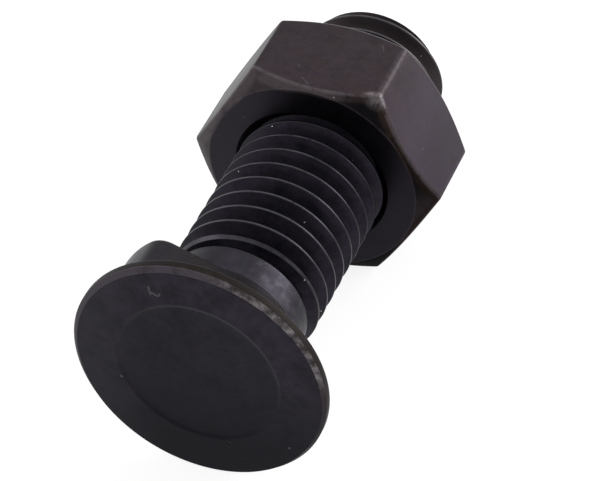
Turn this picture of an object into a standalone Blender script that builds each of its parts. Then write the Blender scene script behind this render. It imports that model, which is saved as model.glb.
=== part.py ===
# Plow bolt: a forged bolt with a flat countersunk head, one nib under the head and a rolled
# right-hand thread, with a hex nut run part of the way down it.
#
# Both pieces are modelled standing, with the head's flat face at z = 0 and the thread upwards.
# A parent empty then lays them down as they rest on a table, along +Y: on the lowest point of
# the head's rim and on one flat of the nut.

import math

import bmesh
import bpy

# Thread, a 5/8-11 unified coarse one
THREAD_DIAMETER = 0.015875
THREAD_PITCH = 0.0254 / 11
THREAD_FLANK_ANGLE = math.radians(30)
THREAD_CREST_SHARE = 1 / 8  # the crest's flat, as a share of the pitch
THREAD_DEPTH_SHARE = 0.6134  # the depth, as a share of the pitch
THREAD_CREST_HEIGHT = 0.0116  # where a crest passes the bolt's upper side, from the head's face
RUN_OUT_SLOPE = math.tan(math.radians(38))  # how steeply the roots rise to the shank
CREST_RISE_SLOPE = math.tan(math.radians(16))  # how steeply the first crests rise from it
END_CHAMFER = 0.0013
END_CHAMFER_SLOPE = math.tan(math.radians(45))

# Bolt
BOLT_LENGTH = 0.0508
HEAD_DIAMETER = 0.0267
HEAD_RIM_HEIGHT = 0.0012
HEAD_EDGE_RADIUS = 0.0005
HEAD_CONE_ANGLE = math.radians(89)
FACE_STEP_DIAMETER = 0.0174
FACE_STEP_DEPTH = 0.00018
FACE_STEP_WIDTH = 0.0006
SHANK_STEP = 0.00055  # how far the smooth shank lies inside the thread's crests
SHANK_LENGTH = 0.0031
NECK_FILLET = 0.0007

# Nib
NIB_SETBACK = 0.0011  # from the head's rim in to the nib's outer side
NIB_SIDE_STEP = 0.0001  # from the shank's surface in to the nib's flat sides
NIB_RISE = 0.00035  # how far the nib's end stands past the cone's foot
NIB_EDGE_RADIUS = 0.0005
NIB_CORNER_RADIUS = 0.0021
NIB_ANGLE = math.radians(198)

# Nut
NUT_ACROSS_FLATS = 0.0238125
NUT_HEIGHT = 0.0112
NUT_POSITION = 0.03068  # the nut's bearing face, from the head's face
NUT_CHAMFER_SLOPE = math.tan(math.radians(35))
NUT_FACE_STEP = 0.00045  # from a flat in to the round edge of the faces
NUT_BORE_CLEARANCE = 0.00012  # the bore is plain, and lies this far outside the thread's crests
NUT_COUNTERSINK = 0.00055  # the countersink's edge, outside the thread's crests

# Facets round the axis
SEGMENTS = 48
NUT_SEGMENTS = 72
ARC_STEPS = 3

SHANK_RADIUS = THREAD_DIAMETER / 2 - SHANK_STEP
HEAD_RADIUS = HEAD_DIAMETER / 2
CONE_SLOPE = math.tan(HEAD_CONE_ANGLE / 2)
CONE_FOOT = HEAD_RIM_HEIGHT + (HEAD_RADIUS - SHANK_RADIUS) / CONE_SLOPE
THREAD_START = CONE_FOOT + SHANK_LENGTH
THREAD_DEPTH = THREAD_DEPTH_SHARE * THREAD_PITCH
THREAD_CREST = THREAD_CREST_SHARE * THREAD_PITCH
FLANK_WIDTH = THREAD_DEPTH * math.tan(THREAD_FLANK_ANGLE)
TIP_RADIUS = THREAD_DIAMETER / 2 - END_CHAMFER
NUT_APOTHEM = NUT_ACROSS_FLATS / 2
NUT_FACE_RADIUS = NUT_APOTHEM - NUT_FACE_STEP
UPPER_SIDE = math.radians(270)  # the local angle that turns up when the bolt lies down


def clear_scene():
    for old in list(bpy.data.objects):
        bpy.data.objects.remove(old, do_unlink=True)


def make_steel(name, colour, roughness):
    steel = bpy.data.materials.new(name)
    steel.use_nodes = True
    shader = steel.node_tree.nodes["Principled BSDF"]
    shader.inputs["Base Color"].default_value = (*colour, 1)
    shader.inputs["Metallic"].default_value = 0.85
    shader.inputs["Roughness"].default_value = roughness
    return steel


def add_object(name, mesh, parent, location=(0, 0, 0)):
    obj = bpy.data.objects.new(name, mesh)
    bpy.context.collection.objects.link(obj)
    obj.parent = parent
    obj.location = location
    return obj


def mesh_from(bm, name, steel=None):
    bmesh.ops.recalc_face_normals(bm, faces=bm.faces)
    mesh = bpy.data.meshes.new(name)
    bm.to_mesh(mesh)
    bm.free()
    if steel:
        mesh.materials.append(steel)
    mesh.shade_smooth()
    mesh.set_sharp_from_angle(angle=math.radians(32))
    return mesh


def make_cutter(name, mesh, parent, location=(0, 0, 0)):
    cutter = add_object(name, mesh, parent, location)
    cutter.hide_render = True
    cutter.display_type = "WIRE"
    return cutter


def add_boolean(obj, cutter, operation):
    modifier = obj.modifiers.new(cutter.name, "BOOLEAN")
    modifier.operation = operation
    modifier.object = cutter


# The points (radius, height) of an arc round a centre, from one angle to another.
def arc(centre, radius, start, end):
    points = []
    for step in range(ARC_STEPS + 1):
        angle = start + (end - start) * step / ARC_STEPS
        points.append((centre[0] + radius * math.cos(angle), centre[1] + radius * math.sin(angle)))
    return points


def ring(bm, radius, height, segments):
    vertices = []
    for step in range(segments):
        angle = 2 * math.pi * step / segments
        vertices.append(bm.verts.new((radius * math.cos(angle), radius * math.sin(angle), height)))
    return vertices


def join_rings(bm, lower, upper):
    count = len(lower)
    for step in range(count):
        after = (step + 1) % count
        bm.faces.new((lower[step], lower[after], upper[after], upper[step]))


# Turns a profile of (radius, height) points into rings of faces, and returns the last ring.
def turn_profile(bm, profile, segments):
    rings = [ring(bm, radius, height, segments) for radius, height in profile]
    for lower, upper in zip(rings, rings[1:]):
        join_rings(bm, lower, upper)
    return rings[0], rings[-1]


# A closed turned solid, with flat ends.
def turned_mesh(name, profile, segments):
    bm = bmesh.new()
    first, last = turn_profile(bm, profile, segments)
    bm.faces.new(reversed(first))
    bm.faces.new(last)
    return mesh_from(bm, name)


# The thread's radius at an axial distance from the middle of a crest.
def profile_radius(offset):
    offset = (offset + THREAD_PITCH / 2) % THREAD_PITCH - THREAD_PITCH / 2
    drop = (abs(offset) - THREAD_CREST / 2) / math.tan(THREAD_FLANK_ANGLE)
    return THREAD_DIAMETER / 2 - min(max(drop, 0), THREAD_DEPTH)


# The height of the middle of a crest at an angle round the bolt, counted in whole turns.
def crest_height(angle, turns):
    return THREAD_CREST_HEIGHT + THREAD_PITCH * (turns + (angle - UPPER_SIDE) / (2 * math.pi))


# The bolt's radius along the thread: cut off by the end's chamfer, and running out into the
# smooth shank, where the roots rise and the crests sink to the shank's own surface.
def bolt_radius(angle, height):
    radius = profile_radius(height - crest_height(angle, 0))
    formed = height - THREAD_START
    radius = max(radius, SHANK_RADIUS - formed * RUN_OUT_SLOPE)
    radius = min(radius, SHANK_RADIUS + formed * CREST_RISE_SLOPE)
    return min(radius, TIP_RADIUS + (BOLT_LENGTH - height) * END_CHAMFER_SLOPE)


# The thread's helical surface, from the shank's last ring to the ring at the bolt's end. Its
# rows follow the thread's edges round and up, and a row that passes an end stops on its ring.
def thread_surface(bm, lower_ring):
    angles = [2 * math.pi * step / SEGMENTS for step in range(SEGMENTS)]
    edges = (
        -THREAD_CREST / 2,
        THREAD_CREST / 2,
        THREAD_CREST / 2 + FLANK_WIDTH,
        THREAD_PITCH - THREAD_CREST / 2 - FLANK_WIDTH,
    )
    first_turn = math.floor((THREAD_START - crest_height(0, 0)) / THREAD_PITCH) - 2
    last_turn = math.ceil((BOLT_LENGTH - crest_height(0, 0)) / THREAD_PITCH) + 1

    def point(angle, height):
        radius = bolt_radius(angle, height)
        return bm.verts.new((radius * math.cos(angle), radius * math.sin(angle), height))

    upper_ring = [point(angle, BOLT_LENGTH) for angle in angles]
    columns = []
    for step, angle in enumerate(angles):
        column = []
        for turn in range(first_turn, last_turn + 1):
            for edge in edges:
                height = crest_height(angle, turn) + edge
                if height <= THREAD_START:
                    column.append(lower_ring[step])
                elif height >= BOLT_LENGTH:
                    column.append(upper_ring[step])
                else:
                    column.append(point(angle, height))
        columns.append(column)
    # After a full turn each row goes on as the row one pitch higher.
    columns.append(columns[0][len(edges):] + [upper_ring[0]] * len(edges))
    for left, right in zip(columns, columns[1:]):
        for row in range(len(left) - 1):
            corners = dict.fromkeys((left[row], right[row], right[row + 1], left[row + 1]))
            if len(corners) > 2:
                bm.faces.new(corners)
    return upper_ring


def head_profile():
    edge_centre = (HEAD_RADIUS - HEAD_EDGE_RADIUS, HEAD_EDGE_RADIUS)
    step_radius = FACE_STEP_DIAMETER / 2
    cone_angle = HEAD_CONE_ANGLE / 2
    # The fillet touches the cone and the shank, so its centre lies off both by its radius.
    reach = NECK_FILLET * math.tan(cone_angle / 2)
    fillet_centre = (SHANK_RADIUS + NECK_FILLET, CONE_FOOT + reach)
    profile = [(step_radius - FACE_STEP_WIDTH, FACE_STEP_DEPTH), (step_radius, 0)]
    profile += arc(edge_centre, HEAD_EDGE_RADIUS, -math.pi / 2, 0)
    profile.append((HEAD_RADIUS, HEAD_RIM_HEIGHT))
    profile += arc(fillet_centre, NECK_FILLET, math.pi + cone_angle, math.pi)
    profile.append((SHANK_RADIUS, THREAD_START))
    return profile


# The nib's outline seen along the bolt: flat sides, and an outer side round the bolt's axis
# with rounded corners. It starts on the axis, inside the shank.
def nib_outline():
    reach = HEAD_RADIUS - NIB_SETBACK
    half_width = SHANK_RADIUS - NIB_SIDE_STEP
    corner_height = half_width - NIB_CORNER_RADIUS
    corner_reach = math.sqrt((reach - NIB_CORNER_RADIUS) ** 2 - corner_height**2)
    corner_angle = math.atan2(corner_height, corner_reach)
    side = [(0, half_width)]
    side += arc((corner_reach, corner_height), NIB_CORNER_RADIUS, math.pi / 2, corner_angle)
    side += arc((0, 0), reach, corner_angle, 0)[1:]
    return side + [(x, -y) for x, y in reversed(side[:-1])]


def nib_mesh():
    bm = bmesh.new()
    base = bm.faces.new([bm.verts.new((x, y, HEAD_RIM_HEIGHT)) for x, y in nib_outline()])
    lifted = bmesh.ops.extrude_face_region(bm, geom=[base])["geom"]
    top = next(face for face in lifted if isinstance(face, bmesh.types.BMFace))
    bmesh.ops.translate(bm, verts=top.verts, vec=(0, 0, CONE_FOOT + NIB_RISE - HEAD_RIM_HEIGHT))
    bmesh.ops.bevel(
        bm, geom=list(top.edges), offset=NIB_EDGE_RADIUS, segments=ARC_STEPS, affect="EDGES", profile=0.5
    )
    return mesh_from(bm, "nib_form")


def make_bolt(parent, steel):
    bm = bmesh.new()
    face_ring, shank_ring = turn_profile(bm, head_profile(), SEGMENTS)
    bm.faces.new(reversed(face_ring))
    bm.faces.new(thread_surface(bm, shank_ring))
    bolt = add_object("bolt", mesh_from(bm, "bolt", steel), parent)
    nib = make_cutter("nib_form", nib_mesh(), parent)
    nib.rotation_euler.z = NIB_ANGLE
    add_boolean(bolt, nib, "UNION")
    return bolt


# The double cone that takes the corners off a hex bar when the nut's two faces are turned.
def nut_turning():
    reach = NUT_APOTHEM / math.cos(math.pi / 6) * 1.1
    rise = (reach - NUT_FACE_RADIUS) * NUT_CHAMFER_SLOPE
    profile = [
        (NUT_FACE_RADIUS, 0),
        (reach, rise),
        (reach, NUT_HEIGHT - rise),
        (NUT_FACE_RADIUS, NUT_HEIGHT),
    ]
    return turned_mesh("nut_turning", profile, NUT_SEGMENTS)


def hex_bar():
    bm = bmesh.new()
    corner = NUT_APOTHEM / math.cos(math.pi / 6)
    margin = NUT_HEIGHT / 4
    lower = ring(bm, corner, -margin, 6)
    upper = ring(bm, corner, NUT_HEIGHT + margin, 6)
    join_rings(bm, lower, upper)
    bm.faces.new(reversed(lower))
    bm.faces.new(upper)
    return bm


# The bore, opened by a countersink at each face.
def nut_core():
    bore = THREAD_DIAMETER / 2 + NUT_BORE_CLEARANCE
    mouth = THREAD_DIAMETER / 2 + NUT_COUNTERSINK
    margin = NUT_HEIGHT / 10
    depth = mouth - bore
    profile = [
        (mouth + margin, -margin),
        (bore, depth),
        (bore, NUT_HEIGHT - depth),
        (mouth + margin, NUT_HEIGHT + margin),
    ]
    return turned_mesh("nut_core", profile, NUT_SEGMENTS)


def make_nut(parent, steel):
    nut = add_object("nut", mesh_from(hex_bar(), "nut", steel), parent, (0, 0, NUT_POSITION))
    turning = make_cutter("nut_turning", nut_turning(), parent, (0, 0, NUT_POSITION))
    add_boolean(nut, turning, "INTERSECT")
    core = make_cutter("nut_core", nut_core(), parent, (0, 0, NUT_POSITION))
    add_boolean(nut, core, "DIFFERENCE")
    return nut


# Lays the bolt along +Y. Its head is wider than the nut, so its axis falls a little towards
# the nut, until the rim's rear edge and the far end of the nut's lower flat both touch z = 0.
def rest_on_table(pose):
    flat_end = NUT_POSITION + NUT_HEIGHT - NUT_FACE_STEP * NUT_CHAMFER_SLOPE
    fall = math.atan((HEAD_RADIUS - NUT_APOTHEM) / (flat_end - HEAD_RIM_HEIGHT))
    axis_height = HEAD_RADIUS * math.cos(fall) + HEAD_RIM_HEIGHT * math.sin(fall)
    face_radius = HEAD_RADIUS - HEAD_EDGE_RADIUS
    nearest = -face_radius * math.sin(fall)
    farthest = BOLT_LENGTH * math.cos(fall) + TIP_RADIUS * math.sin(fall)
    pose.rotation_euler.x = -math.pi / 2 - fall
    pose.location = (0, -(nearest + farthest) / 2, axis_height)


clear_scene()
pose = bpy.data.objects.new("resting_pose", None)
bpy.context.collection.objects.link(pose)
rest_on_table(pose)
make_bolt(pose, make_steel("black_oxide_bolt", (0.085, 0.084, 0.092), 0.42))
make_nut(pose, make_steel("black_oxide_nut", (0.115, 0.108, 0.112), 0.38))
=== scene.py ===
import math
import bmesh
import bpy
from mathutils import Matrix, Vector


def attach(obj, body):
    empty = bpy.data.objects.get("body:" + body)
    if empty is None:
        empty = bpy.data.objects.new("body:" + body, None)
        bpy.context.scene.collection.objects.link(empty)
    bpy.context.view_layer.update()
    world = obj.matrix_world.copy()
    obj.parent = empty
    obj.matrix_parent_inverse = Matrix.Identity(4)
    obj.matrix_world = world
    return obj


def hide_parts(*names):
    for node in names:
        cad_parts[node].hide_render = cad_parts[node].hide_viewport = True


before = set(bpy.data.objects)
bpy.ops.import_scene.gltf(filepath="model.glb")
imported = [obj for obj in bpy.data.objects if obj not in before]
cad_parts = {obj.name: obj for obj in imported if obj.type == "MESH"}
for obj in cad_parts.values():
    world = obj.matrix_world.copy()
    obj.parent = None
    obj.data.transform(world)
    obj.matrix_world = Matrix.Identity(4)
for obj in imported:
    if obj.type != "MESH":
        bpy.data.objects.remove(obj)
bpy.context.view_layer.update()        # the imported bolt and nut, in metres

mm = 0.001
samePlace = 1e-7    # places closer than this are one, in metres
nearPlace = 1e-6    # the same on a thread and after a cut
smoothAngle = 32    # sharper edges than this stay sharp, in degrees
print("frame loaded:", ", ".join(sorted(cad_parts)))


# both pieces are made standing on the head's face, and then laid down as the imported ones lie
lying = {"fall": 2.04845, "axisHeight": 13.3844 * mm, "headFaceY": -25.2727 * mm}
standingToLying = (Matrix.Translation((0, lying["headFaceY"], lying["axisHeight"]))
                   @ Matrix.Rotation(math.radians(-90 - lying["fall"]), 4, "X"))


def deselectAll():
    if bpy.context.object and bpy.context.object.mode != "OBJECT":
        bpy.ops.object.mode_set(mode="OBJECT")
    bpy.ops.object.select_all(action="DESELECT")


def makeActive(piece):
    deselectAll()
    piece.select_set(True)
    bpy.context.view_layer.objects.active = piece


def openMesh(piece, mode="FACE"):    # edit mode, with nothing selected
    makeActive(piece)
    bpy.ops.object.mode_set(mode="EDIT")
    bpy.ops.mesh.select_mode(type=mode)
    bpy.ops.mesh.select_all(action="DESELECT")


def closeMesh():
    bpy.ops.object.mode_set(mode="OBJECT")


def pickFaces(piece, wanted):
    mesh = bmesh.from_edit_mesh(piece.data)
    for face in mesh.faces:
        if wanted(face):
            face.select_set(True)
    bmesh.update_edit_mesh(piece.data)


def pickEdges(piece, wanted):
    mesh = bmesh.from_edit_mesh(piece.data)
    for edge in mesh.edges:
        if wanted(edge):
            edge.select_set(True)
    bmesh.update_edit_mesh(piece.data)


def startCylinder(name, radius, bottom, top, sides, turn=0):
    deselectAll()
    bpy.ops.mesh.primitive_cylinder_add(vertices=sides, radius=radius, depth=top - bottom,
                                        location=(0, 0, (top + bottom) / 2), rotation=(0, 0, turn))
    piece = bpy.context.object
    piece.name = name
    bpy.ops.object.transform_apply(location=True, rotation=True, scale=True)
    return piece


def turnOn(piece, upper, points):    # draws an end on through rings: radius, height, and a shift along Y
    openMesh(piece)
    ends = [vertex.co.z for vertex in piece.data.vertices]
    height, shift = max(ends) if upper else min(ends), 0
    pickFaces(piece, lambda face: all(abs(v.co.z - height) < samePlace for v in face.verts))
    mesh = bmesh.from_edit_mesh(piece.data)
    radius = max(v.co.xy.length for v in mesh.verts if v.select)
    for newRadius, newHeight, *rest in points:
        newShift = rest[0] if rest else 0
        move = (0, newShift - shift, newHeight - height)
        bpy.ops.mesh.extrude_region_move(TRANSFORM_OT_translate={"value": move})
        share = newRadius / radius
        bpy.ops.transform.resize(value=(share, share, 1), center_override=(0, newShift, newHeight))
        radius, height, shift = newRadius, newHeight, newShift
    closeMesh()


def traceOutline(name, points, height):    # a line of edges through points at one height
    deselectAll()
    bpy.ops.mesh.primitive_plane_add(size=mm)
    piece = bpy.context.object
    piece.name = name
    openMesh(piece, "VERT")
    bpy.ops.mesh.select_all(action="SELECT")
    bpy.ops.mesh.merge(type="CENTER")
    bpy.ops.transform.translate(value=(points[0][0], points[0][1], height))
    for (x, y), (nextX, nextY) in zip(points, points[1:]):
        bpy.ops.mesh.extrude_vertices_move(TRANSFORM_OT_translate={"value": (nextX - x, nextY - y, 0)})
    closeMesh()
    return piece


def combine(piece, tool, operation):
    makeActive(piece)
    boolean = piece.modifiers.new("combine", "BOOLEAN")
    boolean.operation = operation
    boolean.solver = "EXACT"
    boolean.object = tool
    bpy.ops.object.modifier_apply(modifier=boolean.name)
    bpy.data.objects.remove(tool, do_unlink=True)


def outwards(piece, merge=samePlace):
    openMesh(piece, "VERT")
    bpy.ops.mesh.select_all(action="SELECT")
    bpy.ops.mesh.remove_doubles(threshold=merge)
    bpy.ops.mesh.normals_make_consistent(inside=False)
    closeMesh()


def arcPoints(centre, radius, start, end, steps):    # angles in degrees
    points = []
    for step in range(steps + 1):
        angle = math.radians(start + (end - start) * step / steps)
        points.append((centre[0] + radius * math.cos(angle), centre[1] + radius * math.sin(angle)))
    return points


def layDown(piece):
    makeActive(piece)
    bpy.ops.object.shade_smooth_by_angle(angle=math.radians(smoothAngle))
    piece.matrix_world = standingToLying
    bpy.ops.object.transform_apply(location=True, rotation=True, scale=True)


# the thread, the same on the bolt and in the nut
thread = {
    "radius": 7.9375 * mm,
    "pitch": 25.4 / 11 * mm,
    "depth": 1.40 * mm,
    "flankAngle": 30,              # from square across the bolt, in degrees
    "crestHalf": 0.105 * mm,       # half of the crest's flat
    "crestRound": 0.06 * mm,
    "crestDrops": (0.008, 0.030, 0.085),    # down from the crest over its round edge, in millimetres
    "rootRises": (0.135, 0.045),            # up from the root where the flank meets its round, and beside it
    "rootRound": 0.09 * mm,
    "roundedDepth": 0.22 * mm,     # how much of the depth the round edges take
    "firstCrest": 9.973 * mm,      # where a crest passes the +X side
    "steps": 144,                  # in a turn
    "endTurns": (1.37, 0.41),      # cut off below and above a fresh rod, in turns
}


def threadPoints(outward):    # one pitch, from the middle of a crest to the middle of the next
    pitch, radius = thread["pitch"], thread["radius"] + outward
    crest, soft = thread["crestHalf"], thread["crestRound"]
    root = radius - thread["depth"]
    crestEdge, crestSide, flankTop = (radius - drop * mm for drop in thread["crestDrops"])
    flankFoot, rootEdge = (root + rise * mm for rise in thread["rootRises"])
    slope = math.tan(math.radians(thread["flankAngle"]))
    flankEnd = crest + soft + (thread["depth"] - thread["roundedDepth"]) * slope
    half = [
        (0, radius),
        (crest, crestEdge),
        (crest + soft / 2, crestSide),
        (crest + soft, flankTop),
        ((crest + soft + flankEnd) / 2, (flankTop + flankFoot) / 2),
        (flankEnd, flankFoot),
        (flankEnd + thread["rootRound"], rootEdge),
        (pitch / 2, root),
    ]
    return half + [(pitch - offset, place) for offset, place in reversed(half[:-1])]


def makeThreadRod(name, outward, firstTurn, turns):
    deselectAll()
    bpy.ops.mesh.primitive_plane_add(size=mm)
    rod = bpy.context.object
    rod.name = name
    points = threadPoints(outward)
    pitch = thread["pitch"]
    bottom = thread["firstCrest"] + firstTurn * pitch
    openMesh(rod, "VERT")
    bpy.ops.mesh.select_all(action="SELECT")
    bpy.ops.mesh.merge(type="CENTER")
    bpy.ops.transform.translate(value=(points[0][1], 0, bottom))
    for (offset, place), (nextOffset, nextPlace) in zip(points, points[1:]):
        move = (nextPlace - place, 0, nextOffset - offset)
        bpy.ops.mesh.extrude_vertices_move(TRANSFORM_OT_translate={"value": move})
    closeMesh()
    rows = rod.modifiers.new("turns", "ARRAY")
    rows.count = turns
    rows.use_relative_offset = False
    rows.use_constant_offset = True
    rows.constant_offset_displace = (0, 0, pitch)
    rows.use_merge_vertices = True
    rows.merge_threshold = samePlace
    screw = rod.modifiers.new("helix", "SCREW")
    screw.axis = "Z"
    screw.angle = 2 * math.pi
    screw.screw_offset = pitch
    screw.iterations = 1
    screw.steps = thread["steps"]
    screw.render_steps = thread["steps"]
    screw.use_merge_vertices = False
    makeActive(rod)
    bpy.ops.object.modifier_apply(modifier=rows.name)
    bpy.ops.object.modifier_apply(modifier=screw.name)
    openMesh(rod, "VERT")
    bpy.ops.mesh.select_all(action="SELECT")
    bpy.ops.mesh.remove_doubles(threshold=nearPlace)
    # both ends are cut square, to be clear of where the helix stops
    below, above = thread["endTurns"]
    for height, isTop in ((bottom + below * pitch, False), (bottom + (turns - above) * pitch, True)):
        bpy.ops.mesh.select_all(action="SELECT")
        bpy.ops.mesh.bisect(plane_co=(0, 0, height), plane_no=(0, 0, 1), use_fill=True,
                            clear_inner=not isTop, clear_outer=isTop)
    bpy.ops.mesh.select_all(action="SELECT")
    bpy.ops.mesh.normals_make_consistent(inside=False)
    if bmesh.from_edit_mesh(rod.data).calc_volume(signed=True) < 0:
        bpy.ops.mesh.flip_normals()
    closeMesh()
    return rod


# lengths times mm are in metres; profiles are in millimetres
bolt = {
    "sides": 192,
    "length": 50.8 * mm,
    "headRadius": 13.35 * mm,
    "rimHeight": 1.2 * mm,
    "rimInset": (0.25 * mm, 0.15 * mm),    # from the bevel and from the rim's back edge to the plain wall
    "rimProfile": ((0.01, 0.12), (0.05, 0.05), (0.13, 0)),    # in from the rim, up from the bevel
    "faceRadius": 12.87 * mm,      # the face's crisp edge, inside a worn bevel
    "faceShift": 0.3 * mm,         # the face is struck off centre, so the bevel is widest at the top
    "faceProfile": ((-0.03, 0.012), (0.02, 0)),               # in from the face's edge, up
    "bevelHeight": 0.2 * mm,
    "lineSpacing": 0.34 * mm,      # the turning lines outside the step
    "lineDepth": 0.007 * mm,
    "lineProfile": ((0, 0), (0.25, 0.5), (0.5, 1), (0.75, 0.5)),    # share of the spacing, share of the depth
    "lineEnds": (0.15 * mm, 0.45 * mm),    # from the face's edge to the first, and from the last to the step
    "stepRadius": 8.7 * mm,        # the shallow step in the head's face
    "stepDepth": 0.12 * mm,
    "stepProfile": ((0.1, 0), (-0.05, 0.1), (-0.2, 0.55), (-0.36, 0.9), (-0.5, 1)),    # out, depth's share
    "discRows": (0.8, 0.65, 0.5, 0.35, 0.2, 0.06),
    "discDish": 0.12,              # the part of the step's depth that is lost in the middle
    "coneHalfAngle": 44.5,
    "coneFoot": 7.2675 * mm,
    "coneLength": 3.9 * mm,
    "coneRows": (0.03, 0.35, 0.7, 1),
    "backProfile": ((0.02, -0.06), (0.07, 0.01)),             # in from the rim, up from its back edge
    "neckRound": 0.7 * mm,
    "neckSteps": 6,
    "shankRadius": 7.3875 * mm,
    # in from the shank, up from the thread's start
    "shankProfile": ((0, -0.9), (0, -0.05), (0.02, 0), (1.15, 1.45), (2.5, 1.52)),
    "threadStart": 10.48 * mm,
    "runOutAngle": 18.3,
    "runOutDrop": 0.03 * mm,       # the run-out starts this far below the shank
    "limitCore": (5.5 * mm, -1.0 * mm, -0.6 * mm),    # radius, and its ends from the thread's start
    "limitRadius": 8.3 * mm,       # clear of the crests
    "rodTurns": (-3, 24),          # the fresh rod's first turn, and how many it has
    "tipRadius": 6.6375 * mm,
    "tipProfile": ((-0.08, 0.08), (0, 0.02), (0.06, 0)),      # in from the tip's radius, back from the end
    "tipDish": ((5.9, 0), (5.4, 0.05), (4.2, 0.18), (2.4, 0.26), (0.6, 0.28)),    # radius, back from the end
    "nibReach": 11.6 * mm,
    "nibHalfWidth": 7.05 * mm,
    "nibTop": 7.6175 * mm,
    "nibCorner": 2.4 * mm,
    "nibEdge": 0.6 * mm,
    "nibFoot": 0.02 * mm,          # the nib starts this far above the rim's back edge
    "nibInside": (0.5 * mm, 0.6 * mm),    # its side inside the shank, and what lies past that
    "nibSteps": (8, 24),           # of its corners and of its outer side
    "nibEdgeSteps": 6,
    "nibAngle": 198,
}


def facePoints():    # the rim's lower edge, the bevel and the head's face, in to its middle
    radius, bevel = bolt["headRadius"], bolt["bevelHeight"]
    face, shift = bolt["faceRadius"], bolt["faceShift"]
    points = [(radius - inward * mm, bevel + up * mm) for inward, up in bolt["rimProfile"]]
    points += [(face - inward * mm, up * mm, shift) for inward, up in bolt["faceProfile"]]
    toFirst, toStep = bolt["lineEnds"]
    place, step = face - toFirst, bolt["stepRadius"]
    while place > step + toStep:
        fade = shift * (place - step) / (face - step)
        points += [(place - share * bolt["lineSpacing"], depth * bolt["lineDepth"], fade)
                   for share, depth in bolt["lineProfile"]]
        place -= bolt["lineSpacing"]
    depth = bolt["stepDepth"]
    points += [(step + outward * mm, depth * share) for outward, share in bolt["stepProfile"]]
    points += [(share * step, depth * (1 - bolt["discDish"] * (1 - share))) for share in bolt["discRows"]]
    return points


def backPoints():    # the rim's back edge, the cone, the neck and the shank, up to the thread
    start, slope = bolt["threadStart"], math.tan(math.radians(bolt["coneHalfAngle"]))
    rim, shank, fillet = bolt["rimHeight"], bolt["shankRadius"], bolt["neckRound"]
    reach = fillet * math.tan(math.radians(bolt["coneHalfAngle"] / 2))
    centre = (shank + fillet, bolt["coneFoot"] + reach)
    points = [(bolt["headRadius"] - inward * mm, rim + up * mm) for inward, up in bolt["backProfile"]]
    coneRadius, coneBottom = points[-1]
    points += [(coneRadius - share * bolt["coneLength"] * slope, coneBottom + share * bolt["coneLength"])
               for share in bolt["coneRows"]]
    points += arcPoints(centre, fillet, 180 + bolt["coneHalfAngle"], 180, bolt["neckSteps"])
    return points + [(shank - inward * mm, start + up * mm) for inward, up in bolt["shankProfile"]]


def makeThreadLimit():    # what the rolled thread is cut to: the run-out below, the chamfer above
    start, end, tip = bolt["threadStart"], bolt["length"], bolt["tipRadius"]
    low = bolt["shankRadius"] - bolt["runOutDrop"]
    core, coreBottom, coreTop = bolt["limitCore"]
    wide = bolt["limitRadius"]
    rise = (wide - low) / math.tan(math.radians(bolt["runOutAngle"]))
    limit = startCylinder("threadLimit", core, start + coreBottom, start + coreTop, bolt["sides"])
    points = [(low, start), (wide, start + rise), (wide, end - (wide - tip))]
    points += [(tip - inward * mm, end - back * mm) for inward, back in bolt["tipProfile"]]
    points += [(radius * mm, end - back * mm) for radius, back in bolt["tipDish"]]
    turnOn(limit, True, points)
    return limit


def makeNib():    # flat sides, an outer side round the bolt's axis, and rounded corners
    reach, half, corner = bolt["nibReach"], bolt["nibHalfWidth"], bolt["nibCorner"]
    inner, outer = bolt["nibInside"]
    cornerSteps, sideSteps = bolt["nibSteps"]
    bottom = bolt["rimHeight"] + bolt["nibFoot"]
    centre = (math.sqrt((reach - corner) ** 2 - (half - corner) ** 2), half - corner)
    turn = math.degrees(math.atan2(centre[1], centre[0]))
    side = [(inner, half)] + arcPoints(centre, corner, 90, turn, cornerSteps)
    outline = side + arcPoints((0, 0), reach, turn, -turn, sideSteps)[1:-1]
    outline += [(x, -y) for x, y in reversed(side)]
    nib = traceOutline("nib", outline, bottom)
    openMesh(nib, "VERT")
    bpy.ops.mesh.select_all(action="SELECT")
    bpy.ops.mesh.edge_face_add()
    bpy.ops.mesh.extrude_region_move(TRANSFORM_OT_translate={"value": (0, 0, bolt["nibTop"] - bottom)})
    closeMesh()
    outwards(nib)
    openMesh(nib, "EDGE")
    pickEdges(nib, lambda edge: all(abs(v.co.z - bolt["nibTop"]) < samePlace for v in edge.verts)
              and max(v.co.x for v in edge.verts) > outer)
    bpy.ops.mesh.bevel(offset=bolt["nibEdge"], segments=bolt["nibEdgeSteps"], affect="EDGES")
    closeMesh()
    nib.rotation_euler.z = math.radians(bolt["nibAngle"])
    makeActive(nib)
    bpy.ops.object.transform_apply(location=True, rotation=True, scale=True)
    outwards(nib)
    return nib


def makeBolt():
    aboveBevel, belowBack = bolt["rimInset"]
    piece = startCylinder("plowBolt", bolt["headRadius"], bolt["bevelHeight"] + aboveBevel,
                          bolt["rimHeight"] - belowBack, bolt["sides"])
    turnOn(piece, False, facePoints())
    turnOn(piece, True, backPoints())
    outwards(piece)
    rod = makeThreadRod("rolledThread", 0, *bolt["rodTurns"])
    combine(rod, makeThreadLimit(), "INTERSECT")
    combine(piece, rod, "UNION")
    combine(piece, makeNib(), "UNION")
    outwards(piece)
    layDown(piece)
    return piece


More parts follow.
